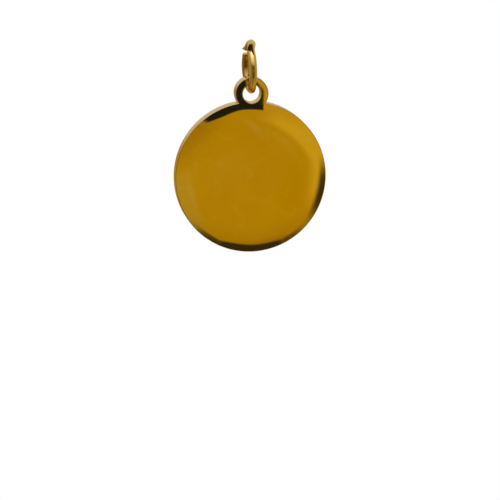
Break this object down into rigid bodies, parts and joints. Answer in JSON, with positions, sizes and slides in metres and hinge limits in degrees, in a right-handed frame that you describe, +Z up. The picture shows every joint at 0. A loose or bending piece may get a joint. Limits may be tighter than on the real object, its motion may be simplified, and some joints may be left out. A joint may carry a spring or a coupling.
{
  "type": "disc pendant",
  "caption": "Plain round disc pendant with an eye on its rim, hanging from an open jump ring of round wire.",
  "frame": {"origin": "lowest point of the jump ring's top wire, where the chain carries the pendant", "axes": "+Z up, against the pull of the hanging disc; the disc's front faces -Y and its width lies along X; the ring stands in the YZ plane"},
  "size_m": [0.02, 0.0072, 0.0281],
  "materials": {
    "polished_gold": "mirror-polished gold plating on the faces, finely lined on the cut edge",
    "gold_wire": "polished gold-plated wire"
  },
  "bodies": {
    "ring": {"jump_ring": "gold_wire"},
    "disc": {"disc": "polished_gold"}
  },
  "joints": [
    {"name": "disc_swing", "type": "hinge", "parent": "ring", "child": "disc", "pos_m": [0.0002, 0, -0.00601], "axis": [0, 1, 0], "range_deg": [-105, 105]}
  ]
}
